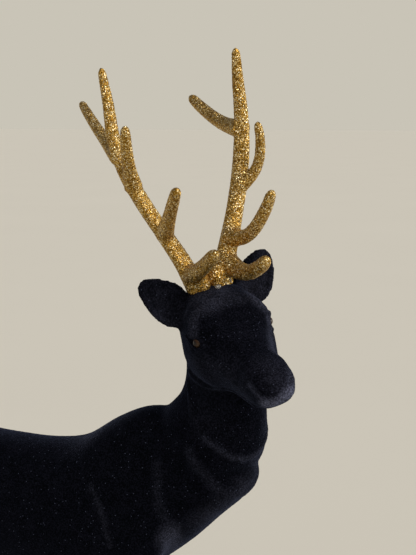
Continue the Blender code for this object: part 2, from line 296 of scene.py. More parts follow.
class Sculptor:
    """Works on the points of a finished skin."""

    def __init__(self, thing: Thing, seed: int = 0) -> None:
        """Takes hold of an object's mesh, and seeds the chance that grain is drawn from."""
        self.mesh = thing.data
        self.chance = np.random.default_rng(seed)
        self.places = read_vectors(self.mesh.vertices, "co") / MM
        self.rubbed = np.zeros(len(self.places))

    def normals(self) -> np.ndarray:
        """The outward direction at each point of the skin as it is now."""
        self.write()
        return read_vectors(self.mesh.vertex_normals, "vector")

    def write(self) -> None:
        """Puts the points back into the mesh."""
        self.mesh.vertices.foreach_set("co", (self.places * MM).astype(np.float32).ravel())
        self.mesh.update()

    def push(self, heights: np.ndarray) -> None:
        """Moves each point out along its normal by so many millimetres."""
        self.places += self.normals() * heights[:, None]

    def draw(self, strokes: Iterable[Stroke], axes: Matrix, sides: Iterable[Side]) -> None:
        """Draws strokes on the skin, each on every side named, and keeps the most painted sheen
        laid at each point.
        """
        skin = Skin(self.places, self.normals())
        total = np.zeros(len(self.places))
        for stroke in strokes:
            for side in sides:
                weights = stroke.weights(skin, axes, side)
                total += stroke.lift * weights
                self.rubbed = np.maximum(self.rubbed, stroke.painted_sheen * weights)
        self.push(total)

    def note_painted_sheen(self) -> None:
        """Stores with the mesh how much painted sheen each point takes."""
        layer = self.mesh.attributes.new(Flock.sheen_layer, "FLOAT", "POINT")
        layer.data.foreach_set("value", self.rubbed.astype(np.float32))

    def fill_hollows(self, rounds: int) -> None:
        """Fills inside corners with a smooth web, and leaves what bulges out as it is."""
        ends = np.empty(len(self.mesh.edges) * 2, np.int32)
        self.mesh.edges.foreach_get("vertices", ends)
        here, there = ends.reshape(-1, 2).T
        count = np.bincount(ends, minlength=len(self.places))[:, None]
        for _ in range(rounds):
            total = np.zeros_like(self.places)
            for axis in range(3):
                column = self.places[:, axis]
                total[:, axis] += np.bincount(here, column[there], len(column))
                total[:, axis] += np.bincount(there, column[here], len(column))
            rise = ((total / count - self.places) * self.normals()).sum(1)
            self.push(np.maximum(rise, 0.0))

    def grain(self, height: float) -> None:
        """Roughens the skin by a random height at each point, in millimetres."""
        self.push(self.chance.uniform(-height, height, len(self.places)))

    def scatter(self, reach: float) -> None:
        """Moves each point a random way, up to so many millimetres along each axis."""
        self.places += self.chance.uniform(-reach, reach, self.places.shape)


@contextmanager
def reshaped(thing: Thing, smooth: bool) -> Iterator[bmesh.types.BMesh]:
    """Lends out an object's shape to be changed, and shades it when it comes back."""
    shape = bmesh.new()
    shape.from_mesh(thing.data)
    yield shape
    shape.to_mesh(thing.data)
    shape.free()
    set_smooth(thing.data, smooth)


def refine(thing: Thing, inside: Callable[[Vector], bool]) -> None:
    """Quarters the faces of a skin whose middles are inside a region, in metres."""
    with reshaped(thing, smooth=True) as shape:
        faces = [face for face in shape.faces if inside(face.calc_center_median())]
        edges = list({edge for face in faces for edge in face.edges})
        bmesh.ops.subdivide_edges(shape, edges=edges, cuts=1, use_grid_fill=True, smooth=0.0)


def facet(thing: Thing) -> None:
    """Splits a skin into flat triangles, so that each one can catch the light by itself."""
    with reshaped(thing, smooth=False) as shape:
        bmesh.ops.triangulate(shape, faces=shape.faces)


# ---- Finishes ----


def linear(code: str) -> tuple[float, float, float, float]:
    """A colour written as sRGB hex, as linear light with full alpha."""
    parts = [int(code[i : i + 2], 16) / 255.0 for i in (1, 3, 5)]
    light = [c / 12.92 if c <= 0.04045 else ((c + 0.055) / 1.055) ** 2.4 for c in parts]
    return (*light, 1.0)


def per_metre(size_mm: float) -> float:
    """A texture's scale for a pattern whose repeats are so many millimetres apart."""
    return 1.0 / (size_mm * MM)


def add_node(
    tree: Tree,
    kind: str,
    settings: dict[str, Any] | None = None,
    inputs: dict[str | int, Any] | None = None,
) -> bpy.types.Node:
    """Adds a shader node.

    Args:
        tree: The material's or the world's nodes.
        kind: The node's type, without its ShaderNode prefix.
        settings: Its attributes.
        inputs: For each of its sockets, a value or the socket that feeds it.

    Returns:
        The node.
    """
    node = tree.nodes.new("ShaderNode" + kind)
    for name, value in (settings or {}).items():
        setattr(node, name, value)
    for name, value in (inputs or {}).items():
        if isinstance(value, Socket):
            tree.links.new(value, node.inputs[name])
        else:
            node.inputs[name].default_value = value
    return node


def object_place(tree: Tree) -> Socket:
    """Where a point is in its object, which stays put when the object moves."""
    return add_node(tree, "TexCoord").outputs["Object"]


def noise(tree: Tree, place: Socket, size_mm: float, detail: float = 2.0) -> Socket:
    """A soft noise whose features are about so many millimetres across."""
    inputs = {"Vector": place, "Scale": per_metre(size_mm), "Detail": detail}
    return add_node(tree, "TexNoise", inputs=inputs).outputs["Fac"]


def cells(tree: Tree, place: Socket, apart_mm: float, reading: str) -> Socket:
    """A reading of cells scattered so many millimetres apart: their Color or Distance."""
    inputs = {"Vector": place, "Scale": per_metre(apart_mm)}
    return add_node(tree, "TexVoronoi", inputs=inputs).outputs[reading]


def worked_out(tree: Tree, operation: str, *values: Any, kind: str = "Math") -> Socket:
    """The result of an operation on numbers, or on vectors if that kind is asked for."""
    return add_node(tree, kind, {"operation": operation}, dict(enumerate(values))).outputs[0]


def blend(tree: Tree, factor: Any, under: Any, over: Any, kind: str = "RGBA") -> Socket:
    """One colour laid over another as far as the factor says, or a FLOAT over a FLOAT."""
    inputs = {"Factor": factor, "A": under, "B": over}
    return add_node(tree, "Mix", {"data_type": kind}, inputs).outputs["Result"]


def rescaled(tree: Tree, value: Socket, start: Span = UNIT, end: Span = UNIT) -> Socket:
    """A number moved from one span to another, and held inside it."""
    limits = zip(("From Min", "From Max", "To Min", "To Max"), (*start, *end))
    return add_node(tree, "MapRange", inputs={"Value": value, **dict(limits)}).outputs[0]


def bumped(tree: Tree, height: Socket, depth_mm: float, strength: float) -> Socket:
    """A surface's normal, roughened by a height of up to so many millimetres."""
    inputs = {"Height": height, "Strength": strength, "Distance": depth_mm * MM}
    return add_node(tree, "Bump", inputs=inputs).outputs[0]


def ramped(tree: Tree, share: Socket, stops: Ramp) -> Socket:
    """A colour from a ramp whose stops are places from 0 to 1 with an sRGB hex colour each."""
    node = add_node(tree, "ValToRGB", inputs={"Fac": share})
    elements = node.color_ramp.elements
    while len(elements) > 1:
        elements.remove(elements[-1])
    elements[0].position, elements[0].color = stops[0][0], linear(stops[0][1])
    for place, code in stops[1:]:
        elements.new(place).color = linear(code)
    return node.outputs["Color"]


@dataclass(frozen=True)
class Finish:
    """What a surface is made of. Each kind says how its shader's sockets are fed."""

    name: str

    def sockets(self, tree: Tree) -> dict[str, Any]:
        """The Principled shader's inputs, by name."""
        raise NotImplementedError

    def material(self) -> bpy.types.Material:
        """Makes the material."""
        made = bpy.data.materials.new(self.name)
        made.use_nodes = True
        tree = made.node_tree
        tree.nodes.clear()
        shader = add_node(tree, "BsdfPrincipled", inputs=self.sockets(tree))
        add_node(tree, "OutputMaterial", inputs={"Surface": shader.outputs[0]})
        return made

    def dress(self, thing: Thing) -> None:
        """Puts the finish on an object."""
        thing.data.materials.append(self.material())


@dataclass(frozen=True)
class Flock(Finish):
    """Nylon flock, electrostatically laid on glue: upright fibres that drink the light.

    Seen straight on it is nearly black. Light that skims it catches the fibre ends, so it has a
    sheen. On the crown, the muzzle, the ridges and the side turned to the side light, more sheen
    is painted on as a grey. Painted glints of fibre ends fleck it, and lint sits on it.
    """

    sheen_layer = "rubbed"
    name: str = "nylon_flock_black"
    deep: str = "#040508"
    lit: str = "#101119"
    # painted sheen: the grey laid over the pile wherever the strokes' layer asks for it
    rubbed: str = "#777b95"
    sheen: str = "#454b5f"
    # painted glints: small pale specks where fibre ends would catch the light
    glint: str = "#3e4354"
    lint: str = "#b4b0a6"
    tuft_mm: float = 0.8  # real fibres are 0.02 mm thick: tufts are drawn as coarse as they show
    patch_mm: float = 7.0
    patchiness: float = 0.2
    shade_span: Span = (0.44, 0.62)
    # how much of the painted sheen the darkest tufts still take
    least_rubbed: float = 0.3
    glint_apart_mm: float = 2.6
    glint_mm: float = 0.5
    lint_apart_mm: float = 26.0
    lint_mm: float = 0.5
    pile_mm: float = 0.45

    def sockets(self, tree: Tree) -> dict[str, Any]:
        """Tufts and brushed patches in the colour and the bump, a grey of painted sheen, painted
        glints and lint in the colour, and a constant sheen.
        """
        place = object_place(tree)
        tufts, patches = (noise(tree, place, size) for size in (self.tuft_mm, self.patch_mm))
        both = blend(tree, self.patchiness, tufts, patches, kind="FLOAT")
        shade = rescaled(tree, both, self.shade_span)
        # painted sheen: a grey read from the mesh's layer, strongest on the paler tufts
        sheen_amount = add_node(tree, "Attribute", {"attribute_name": self.sheen_layer})
        caught = blend(tree, shade, self.least_rubbed, 1.0, kind="FLOAT")
        sheen_share = worked_out(tree, "MULTIPLY", sheen_amount.outputs["Fac"], caught)
        colour = blend(tree, shade, linear(self.deep), linear(self.lit))
        colour = blend(tree, sheen_share, colour, linear(self.rubbed))
        # painted glints of fibre ends, then specks of lint
        for apart, size, code in (
            (self.glint_apart_mm, self.glint_mm, self.glint),
            (self.lint_apart_mm, self.lint_mm, self.lint),
        ):
            far = cells(tree, place, apart, "Distance")
            on_speck = worked_out(tree, "LESS_THAN", far, 0.5 * size / apart)
            colour = blend(tree, on_speck, colour, linear(code))
        return {
            "Base Color": colour,
            "Roughness": 0.95,
            "Specular IOR Level": 0.0,
            "Sheen Weight": 1.0,
            "Sheen Roughness": 0.33,
            "Sheen Tint": linear(self.sheen),
            "Normal": bumped(tree, tufts, self.pile_mm, strength=1.0),
        }


@dataclass(frozen=True)
class Glitter(Finish):
    """Coarse craft glitter: flakes of metallised film glued on at every tilt.

    Each flake is a small mirror with its own tilt and shade of gold, so a few flash and the rest
    show deep bronze. The shades are partly painted reflection: the palest flakes are painted
    glints, and the deepest bronze is the painted dark of mirrored surroundings.
    """

    name: str = "metallised_film_glitter_gold"
    # gold with painted reflections: near white stops are glints, deep bronze is mirrored dark
    gold_and_painted_reflections: Ramp = (
        (0.0, "#6c4913"),
        (0.35, "#9c742a"),
        (0.7, "#c0994b"),
        (0.92, "#e8d298"),
        (1.0, "#fff6d8"),
    )
    flake_mm: float = 0.45
    tilt: float = 0.38
    roughness: Span = (0.32, 0.56)

    def sockets(self, tree: Tree) -> dict[str, Any]:
        """Cells a flake across, each with its own normal, colour and roughness."""
        flakes = cells(tree, object_place(tree), self.flake_mm, "Color")
        lot = add_node(tree, "SeparateColor", inputs={"Color": flakes}).outputs
        outward = add_node(tree, "NewGeometry").outputs["Normal"]
        lean = (2.0 * self.tilt,) * 3
        centred = worked_out(tree, "SUBTRACT", flakes, (0.5,) * 3, kind=VECTORS)
        tilted = worked_out(tree, "MULTIPLY_ADD", centred, lean, outward, kind=VECTORS)
        return {
            "Base Color": ramped(tree, lot[0], self.gold_and_painted_reflections),
            "Metallic": 1.0,
            "Roughness": rescaled(tree, lot[1], end=self.roughness),
            "Normal": worked_out(tree, "NORMALIZE", tilted, kind=VECTORS),
        }


@dataclass(frozen=True)
class AmberBead(Finish):
    """Moulded acrylic, amber with a dark pupil let in: clear gloss over a ringed brown."""

    name: str = "cast_acrylic_amber"
    rings: Ramp = (
        (0.0, "#050302"),
        (0.3, "#0a0503"),
        (0.42, "#1c1005"),
        (0.7, "#37220c"),
        (0.9, "#2b1b0c"),
        (1.0, "#160e06"),
    )
    ray_mm: float = 0.35
    waviness: float = 0.12

    def sockets(self, tree: Tree) -> dict[str, Any]:
        """Rings round the bead's own Z axis, streaked by a fine noise."""
        place = object_place(tree)
        parts = add_node(tree, "SeparateXYZ", inputs={"Vector": place}).outputs
        squares = (worked_out(tree, "MULTIPLY", parts[axis], parts[axis]) for axis in (0, 1))
        far = worked_out(tree, "SQRT", worked_out(tree, "ADD", *squares))
        share = rescaled(tree, far, (0.0, BeadEye.radius * MM))
        streaks = noise(tree, place, self.ray_mm)
        wavy = worked_out(tree, "MULTIPLY_ADD", streaks, self.waviness, share)
        return {
            "Base Color": ramped(tree, wavy, self.rings),
            "Roughness": 0.3,
            "Specular IOR Level": 0.15,
            "Coat Weight": 0.25,
            "Coat Roughness": 0.03,
        }


@dataclass(frozen=True)
class SprayedMatt(Finish):
    """Matt black paint sprayed on fibreboard: an even skin with faint orange peel and rub marks."""

    name: str = "sprayed_matt_paint_black"
    coat: str = "#0e0e10"
    rubbed: str = "#1d1c1c"
    peel_mm: float = 1.4
    peel_depth_mm: float = 0.2
    rub_mm: float = 30.0
    roughness: Span = (0.62, 0.48)

    def sockets(self, tree: Tree) -> dict[str, Any]:
        """Orange peel in the bump, and rubbed patches in the colour and the roughness."""
        place = object_place(tree)
        peel = noise(tree, place, self.peel_mm)
        rubs = noise(tree, place, self.rub_mm, detail=6.0)
        return {
            "Base Color": blend(tree, rubs, linear(self.coat), linear(self.rubbed)),
            "Roughness": rescaled(tree, rubs, end=self.roughness),
            "Normal": bumped(tree, peel, self.peel_depth_mm, strength=0.25),
        }


@dataclass(frozen=True)
class HotGlue(Finish):
    """Hot-melt glue, squeezed out and set: milky and clear, with a wet gloss."""

    name: str = "hot_melt_glue_clear"
    milk: str = "#9c9078"
    clear: str = "#ffffff"
    cloud_mm: float = 1.5

    def sockets(self, tree: Tree) -> dict[str, Any]:
        """A cloudy tint in a mostly clear body."""
        cloud = noise(tree, object_place(tree), self.cloud_mm, detail=3.0)
        return {
            "Base Color": blend(tree, cloud, linear(self.milk), linear(self.clear)),
            "Roughness": 0.12,
            "Transmission Weight": 0.75,
            "IOR": 1.48,
        }


@dataclass(frozen=True)
class StudioPaper(Finish):
    """Pale seamless background paper: matt, with the faintest mottle."""

    name: str = "background_paper_pale"
    light: str = "#e8e5da"
    dark: str = "#e5e2d7"
    mottle_mm: float = 400.0

    def sockets(self, tree: Tree) -> dict[str, Any]:
        """Two near shades in broad clouds."""
        cloud = noise(tree, object_place(tree), self.mottle_mm)
        return {
            "Base Color": blend(tree, cloud, linear(self.dark), linear(self.light)),
            "Roughness": 1.0,
            "Specular IOR Level": 0.0,
        }


# ---- The figurine ----


@dataclass(frozen=True)
class HeadPose:
    """Where the head is. Its own axes are x forward, y to the stag's left, z up from the crown."""

    crown: Triple = (113.0, -10.0, 296.0)
    turn_deg: float = -45.0
    roll_deg: float = 10.0

    @property
    def axes(self) -> Matrix:
        """The head's axes in the world, in millimetres."""
        turn = Matrix.Rotation(math.radians(self.turn_deg), 4, "Z")
        roll = Matrix.Rotation(math.radians(self.roll_deg), 4, "X")
        return Matrix.Translation(self.crown) @ turn @ roll


class Joint(NamedTuple):
    """A level slice of a limb, or of the neck with its turn."""

    x: float
    y: float
    z: float
    depth: float
    half_width: float
    turn_deg: float = 0.0


class Section(NamedTuple):
    """An upright slice of the trunk or the head.

    The jaw is its width at the bottom as a share of the widest, and the crown is how square its
    upper half is.
    """

    place: float
    top: float
    bottom: float
    half_width: float
    jaw: float = 1.0
    crown: float = 2.2


class EarSection(NamedTuple):
    """A slice across an ear: how far along, half as wide, half as thick."""

    share: float
    half_width: float
    half_thickness: float


@dataclass
class VelvetBody:
    """The flocked moulding: trunk, neck, head, ears, legs and tail in one skin."""

    pose: HeadPose
    trunk: tuple[Section, ...] = slices(
        Section,
        (-104, 170, 148, 12),
        (-98, 183, 136, 22),
        (-80, 193, 120, 31),
        (-52, 197, 115, 34),
        (-22, 196, 116, 33),
        (8, 196, 113, 35),
        (32, 201, 113, 36),
        (54, 215, 117, 33),
        (72, 223, 126, 29),
        (88, 223.5, 139, 25),
        (103, 218, 152, 22),
        (118, 212, 167.5, 19),
        (128, 209, 177, 15),
        (134, 205, 184, 10),
        (136.5, 200, 189.5, 5),
    )
    belly_squareness: float = 2.2
    neck: tuple[Joint, ...] = slices(
        Joint,
        (100, 0, 184, 26, 16, 0),
        (106, 0, 203, 33.5, 24, -5),
        (111.5, -1, 220, 31.5, 23, -12),
        (118.5, -3, 236, 24.5, 20.5, -22),
        (119, -5, 252, 20.5, 18.5, -32),
        (116, -7, 268, 18.5, 17.5, -42),
        (114, -9, 282, 14, 15, -45),
    )
    head: tuple[Section, ...] = slices(
        Section,
        (-16, -11, -30, 8, 0.9, 2.2),
        (-10, -2.5, -39, 16, 0.9, 2.2),
        (-1, 1, -46.5, 20.5, 0.9, 2.3),
        (6, 0.5, -49, 22.5, 0.86, 2.7),
        (12, -3, -49.5, 23.3, 0.82, 3.2),
        (20, -9.5, -49.5, 23.5, 0.76, 4.2),
        (28, -15, -48.5, 20, 0.68, 4.2),
        (35, -19, -49, 17, 0.64, 3.2),
        (43, -23, -51, 13.8, 0.68, 3),
        (53, -27, -51.5, 12.2, 0.74, 2.8),
        (60, -30.5, -48.5, 11, 0.78, 2.5),
        (64, -33.5, -46, 8.8, 0.82, 2.3),
        (66.5, -36.5, -43.5, 5.6, 0.9, 2.1),
        (67.2, -39, -41, 2, 1, 2),
    )
    jaw_squareness: float = 3.2
    ear_root: Triple = (1.0, 15.0, -9.0)
    ear_tip: Triple = (-0.5, 38.0, 9.8)
    ear_across: Triple = (-5.0, -8.0, 15.0)
    ear: tuple[EarSection, ...] = slices(
        EarSection,
        (0, 8, 5.5),
        (0.2, 11, 3.8),
        (0.42, 11.8, 2.8),
        (0.65, 10.7, 2.4),
        (0.84, 7.8, 2),
        (0.95, 5, 1.7),
        (1, 2, 1),
    )
    ear_cup: float = 0.105
    ear_curl: float = 1.5
    ear_droop: float = 1.8
    rim_at: float = 0.9
    rim_parts: int = 8
    rim_steps: int = 4
    foreleg: tuple[Joint, ...] = slices(
        Joint,
        (78, 14, 188, 20, 14),
        (77, 19, 162, 18.5, 12),
        (70, 20.5, 134, 13.5, 9.5),
        (67, 20, 108, 8.5, 7),
        (66, 19, 82, 6, 5.5),
        (67, 18.5, 72, 6.4, 5.8),
        (65.5, 18, 62, 5, 4.6),
        (64, 18, 34, 4.3, 4.2),
        (65, 18, 25, 5.2, 5),
        (68, 18, 17, 5, 4.8),
        (70, 18, 13, 7.2, 5.8),
        (71, 18, 10, 8.2, 6.3),
    )
    hindleg: tuple[Joint, ...] = slices(
        Joint,
        (-72, 14, 178, 27, 16),
        (-70, 20, 152, 26, 14),
        (-66, 22, 126, 18, 11),
        (-73, 21, 106, 11.5, 8),
        (-86, 20, 88, 8, 6),
        (-92, 19, 78, 7.4, 5.8),
        (-91, 19, 66, 5.8, 5),
        (-86, 18.5, 38, 4.6, 4.4),
        (-84, 18.5, 26, 5.4, 5.1),
        (-81, 18.5, 18, 5.1, 4.9),
        (-79, 18.5, 13, 7.2, 5.8),
        (-78, 18.5, 10, 8.2, 6.3),
    )
    foreleg_back: float = 8.0
    hindleg_back: float = -6.0
    tail: tuple[Joint, ...] = slices(
        Joint,
        (-96, 0, 186, 7, 7),
        (-106, 0, 180, 6.5, 8),
        (-112, 0, 168, 5.5, 7.5),
        (-113, 0, 157, 3, 4),
    )
    face_strokes: tuple[Stroke, ...] = (
        # the edge of the crown, from over the eye up the temple and across the forehead, with
        # painted sheen along it
        Stroke(
            ((21, 21.5, -16), (18, 20, -10), (15, 15, -6.5), (13, 8, -4), (12, 0, -3)),
            4.5, 0.8, painted_sheen=0.11,
        ),
        # the socket, the hollow before the eye, and the cheek bone under them, with painted sheen
        # on the bone
        Stroke(((22, 21, -20),), 8, -1.5),
        Stroke(((30, 16, -20), (44, 11.5, -31)), 9, -1.5),
        Stroke(((16, 21, -30), (26, 19, -30), (36, 15, -33), (46, 12, -39)), 7, 0.6, painted_sheen=0.06),
        # the upper lid, the lower lid and the tear duct
        Stroke(((27, 19, -23), (23, 21.5, -17.2), (16.5, 21.5, -17)), 2, 1.2),
        Stroke(((27, 19, -23.4), (21.5, 21.5, -23.2), (16.5, 21.5, -18)), 1.7, 0.7),
        Stroke(((27, 19.5, -23.4), (34, 16.5, -27)), 1.4, -0.9, Relief.SHARP),
        # the cheek and the edge of the jaw
        Stroke(((8, 19, -33),), 13, 1),
        Stroke(((-1, 17, -42), (8, 14, -46), (22, 12, -47), (36, 10, -48), (50, 8, -50)), 2.6, 0.9),
        # the mouth and the nostril
        Stroke(((65.5, 0, -45.5), (64, 4, -45.5), (61.5, 6.5, -44.5)), 1.5, -0.6, Relief.SHARP),
        Stroke(((63.5, 5.5, -45), (63, 7.5, -42.5), (61.5, 9, -39.5)), 1.8, -1.5, Relief.SHARP),
        Stroke(((64.5, 4.5, -37.5), (62.5, 7, -36)), 2.1, -1.5),
    )
    head_sheen_strokes: tuple[Stroke, ...] = (
        # painted sheen, laid as a grey wash on both sides: most on the crown, then the muzzle, the
        # cheeks and the brow
        sheen_stroke(((15, 11, -5), (14, 0, -4)), 9, 0.1),
        sheen_stroke(((9, 13, -1), (8, 0, 0)), 9, 0.12),
        sheen_stroke(((22, 0, -10), (45, 0, -24)), 28, 0.01),
        sheen_stroke(((8, 22, -30), (46, 12, -38)), 20, 0.045),
        sheen_stroke(((56, 0, -29), (64, 0, -36), (66.5, 0, -42)), 13, 0.07),
    )
    lip_strokes: tuple[Stroke, ...] = (
        # painted highlights, drawn once and mostly on the left side where the side light falls: the
        # lips and the muzzle, the cheek's edge, temple and ear
        sheen_stroke(((55, -11, -36), (60, -10, -40), (62, -8, -44.5), (63.5, -5.5, -46)), 3.5, 0.18),
        sheen_stroke(((62, -6, -46), (65.5, -1, -44.5), (66.5, 4, -42)), 7.5, 0.65),
        sheen_stroke(((66, 7, -38), (62, 10, -34)), 7, 0.25),
        sheen_stroke(((24, 21, -18), (30, 17.5, -23), (38, 13, -26), (48, 9, -27)), 6, 0.16),
        sheen_stroke(((12, 18, -4), (17, 20, -8), (20, 21.5, -13)), 8, 0.2),
        sheen_stroke(((3, 19, -7), (5, 28, -6), (3, 35, 4)), 15, 0.09),
    )
    ruff_strokes: tuple[Stroke, ...] = (
        # the ruff's lower edge, down one side of the neck, round the front and up the other
        Stroke(
            (
                (102, -17, 245), (108, -23, 231), (119, -25, 217), (127, -23, 210), (134, -17, 207),
                (140, -9, 208), (142, 0, 215), (138, 11, 227), (128, 15, 240),
            ),
            2.8, 0.9, painted_sheen=0.05,
        ),
        # painted sheen along the ruff's edge round the front
        sheen_stroke(
            ((116, -24.5, 219.5), (127, -23, 210), (134, -17, 207), (140, -9, 208), (142, 0, 215)),
            3, 0.12,
        ),
        # the fold of the breast below it, with painted sheen on it
        Stroke(
            (
                (107, -26, 211), (111, -26, 202), (117, -23, 194), (123, -17, 187), (131, -7, 184),
                (136, 3, 188), (130, 16, 197),
            ),
            5, 0.8, painted_sheen=0.06,
        ),
        # painted sheen, lifting the shade on the neck between the ruff and the jaw
        sheen_stroke(((110, -22, 256), (122, -22, 228)), 26, 0.03),
    )
    flank_strokes: tuple[Stroke, ...] = (
        # painted sheen on the breast
        sheen_stroke(((131, 7, 188), (122, 11, 179), (111, 13, 168)), 14, 0.08),
        # the shoulder's front edge, and the fold over the elbow, with painted sheen on them
        Stroke(
            ((88, 24, 200), (89, 26, 190), (91, 27, 177), (96, 25, 167), (97, 20, 158)),
            4.5, 0.9, painted_sheen=0.03,
        ),
        sheen_stroke(((95, 22, 160), (95, 18, 153), (93, 15, 145)), 11, 0.19),
        Stroke(((52, 31, 186), (58, 32, 174), (61, 31, 162), (62, 30, 152)), 2.6, 0.7, painted_sheen=0.05),
    )
    grain_mm: float = 1.4
    relaxing: int = 9
    webbing: int = 9
    fine_ahead_of: float = -14.0  # the head's skin is twice as fine as the rest
    fine_above: float = -54.0
    fuzz_mm: float = 0.07
    pile_seed: int = 7
    ring_points: int = 48
    curve_steps: int = 8

    def limb_rings(self, joints: Sequence[Joint]) -> Rings:
        """Level sections of a limb, the tail or the neck."""
        rings = []
        for x, y, z, depth, width, turn in smooth_rows(joints, self.curve_steps):
            swing = Matrix.Rotation(math.radians(turn), 3, "Z")
            spokes = (
                Vector((depth * math.cos(angle), width * math.sin(angle), 0.0))
                for angle in angles(self.ring_points)
            )
            rings.append([Vector((x, y, z)) + swing @ spoke for spoke in spokes])
        return rings

    def leg_rings(self, joints: Sequence[Joint], side: Side, back: float) -> Rings:
        """A leg on one side. The left one stands back from the right by so much."""
        shift = back if side is Side.LEFT else 0.0
        moved = [joint._replace(x=joint.x - shift, y=side.value * joint.y) for joint in joints]
        return self.limb_rings(moved)

    def upright_rings(self, sections: Sequence[Section], lower: float, axes: Matrix) -> Rings:
        """Slices of the trunk or the head, whose lower halves are squared by a power."""
        rings = []
        for x, top, bottom, width, jaw, crown in smooth_rows(sections, self.curve_steps):
            middle, height = 0.5 * (top + bottom), 0.5 * (top - bottom)
            ring = []
            for angle in angles(self.ring_points):
                across, up = squared(angle, crown if angle < math.pi else lower)
                share = 1.0 - (1.0 - jaw) * (0.5 - 0.5 * up) ** 2
                ring.append(axes @ Vector((x, width * share * across, middle + height * up)))
            rings.append(ring)
        return rings

    def ear_frame(self) -> tuple[Vector, Vector, Vector, Vector]:
        """An ear's root and tip, and the ways across it and into its hollow."""
        root, tip = Vector(self.ear_root), Vector(self.ear_tip)
        across = Vector(self.ear_across).normalized()
        hollow_way = across.cross(tip - root).normalized()
        return root, tip, across, hollow_way * math.copysign(1.0, hollow_way.x)

    def ear_rings(self, side: Side) -> Rings:
        """Sections of a cupped ear, open to the front."""
        root, tip, across, hollow_way = self.ear_frame()
        rings = []
        for share, width, thick in smooth_rows(self.ear, self.curve_steps):
            middle = root.lerp(tip, share) - across * (self.ear_droop * math.sin(math.pi * share))
            ring = []
            for angle in angles(self.ring_points):
                reach = width * math.cos(angle)
                depth = thick * (math.sin(angle) - 0.5) + self.cup(reach)
                point = middle + across * reach + hollow_way * depth
                ring.append(self.pose.axes @ mirrored(point, side))
            rings.append(ring)
        return rings

    def cup(self, reach: float) -> float:
        """How far an ear's blade curls forward at a distance from its middle line."""
        return self.ear_cup * abs(reach) ** self.ear_curl

    def on_ear(self, share: float, reach_share: float) -> Triple:
        """A point on an ear's hollow side: how far along, and how far across from -1 to 1."""
        root, tip, across, hollow_way = self.ear_frame()
        sections = smooth_rows(self.ear, self.rim_steps)
        _, half, thick = sections[round(share * self.rim_steps * (len(self.ear) - 1))]
        reach = half * reach_share
        depth = 0.5 * thick + self.cup(reach)
        droop = self.ear_droop * math.sin(math.pi * share)
        return tuple(root.lerp(tip, share) + across * (reach - droop) + hollow_way * depth)

    def ear_strokes(self) -> list[Stroke]:
        """The rim round an ear, its hollow, and the fold inside it, with painted sheen on the lower
        rim and in the hollow.
        """

        def along(reach_share: float, *shares: float) -> tuple[Triple, ...]:
            return tuple(self.on_ear(share, reach_share) for share in shares)

        rim = [i / self.rim_parts for i in range(1, self.rim_parts)]
        upper, lower = along(self.rim_at, *rim), along(-self.rim_at, *rim)
        return [
            Stroke(upper, 2.2, 0.5),
            Stroke(lower, 2.2, 0.5),
            sheen_stroke(lower[1:5], 6, 0.06),
            Stroke(along(0.0, 0.2, 0.45, 0.75), 8, -1.3),
            sheen_stroke(along(0.0, 0.1, 0.5, 0.9), 16, 0.03),
            Stroke(along(-0.35, 0.15, 0.35, 0.6), 2, 0.6),
        ]

    def build(self) -> Thing:
        """Models the moulding and lays the flock on it."""
        clay = Clay()
        clay.loft(self.upright_rings(self.trunk, self.belly_squareness, Matrix.Identity(4)))
        clay.loft(self.limb_rings(self.neck))
        clay.loft(self.upright_rings(self.head, self.jaw_squareness, self.pose.axes))
        clay.loft(self.limb_rings(self.tail))
        for side in Side:
            clay.loft(self.ear_rings(side))
            clay.loft(self.leg_rings(self.foreleg, side, self.foreleg_back))
            clay.loft(self.leg_rings(self.hindleg, side, self.hindleg_back))
        body = clay.press("velvet_body", self.grain_mm, self.relaxing)
        self.sculpt(body)
        Flock().dress(body)
        return body

    def sculpt(self, body: Thing) -> None:
        """Models the finer forms of the face, the ruff and the shoulders and paints their sheen,
        then the pile.
        """
        to_head = self.pose.axes.inverted()

        def in_head(place: Vector) -> bool:
            local = to_head @ (place / MM)
            return local.x > self.fine_ahead_of and local.z > self.fine_above

        Sculptor(body).fill_hollows(self.webbing)
        refine(body, in_head)
        tool = Sculptor(body, self.pile_seed)
        tool.draw((*self.face_strokes, *self.ear_strokes()), self.pose.axes, Side)
        tool.draw(self.ruff_strokes, Matrix.Identity(4), (Side.LEFT,))
        tool.draw(self.flank_strokes, Matrix.Identity(4), Side)
        tool.draw(self.head_sheen_strokes, self.pose.axes, Side)
        tool.draw(self.lip_strokes, self.pose.axes, (Side.LEFT,))
        tool.grain(self.fuzz_mm)
        tool.write()
        tool.note_painted_sheen()


class Tine(NamedTuple):
    """A tine: where it leaves the beam, how far its tip is from there, and how it bends.

    The sag is how far its middle hangs below a straight line, and the bow how far it swells
    outward. The girth is its thickness as a share of the usual, and the flare is that of its
    root.
    """

    height: float
    forward: float
    outward: float
    rise: float
    sag: float
    girth: float
    bow: float = 0.0
    flare: float = 1.0


class TineKind(Enum):
    """The four tines, from the brow up."""

    BROW = 1
    SECOND = 2
    THIRD = 3
    REAR = 4


CRUST_SEEDS = {Side.LEFT: 11, Side.RIGHT: 12}


